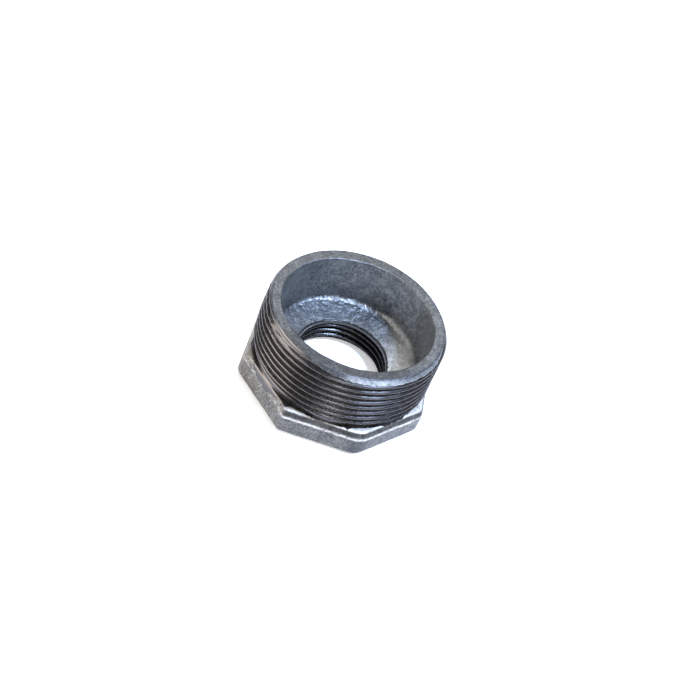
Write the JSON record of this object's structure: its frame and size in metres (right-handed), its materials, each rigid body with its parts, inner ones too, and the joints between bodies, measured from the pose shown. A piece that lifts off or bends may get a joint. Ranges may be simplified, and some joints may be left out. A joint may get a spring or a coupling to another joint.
{
  "type": "screwed reducing bush",
  "caption": "Galvanised reducing bush: octagonal wrench head, male taper pipe thread outside, deep cup and a smaller female threaded bore inside.",
  "frame": {"origin": "centre of the head's flat face, on the common axis of both threads", "axes": "+Z along the thread axis towards the rim of the male end, +X out of one wrench flat"},
  "size_m": [0.061, 0.061, 0.0307],
  "materials": {
    "galvanised_head": "hot-dip galvanised casting, streaky",
    "galvanised_cup": "hot-dip galvanised casting, speckled",
    "galvanised_web": "hot-dip galvanised casting, lumpy",
    "cut_male_thread": "oiled bare metal cut by a die",
    "cut_female_thread": "oiled bare metal cut by a tap"
  },
  "bodies": {
    "root": {"octagon_head": "galvanised_head", "male_barrel": "galvanised_cup", "male_thread": "cut_male_thread", "reducing_web": "galvanised_web", "female_thread": "cut_female_thread"}
  },
  "joints": []
}
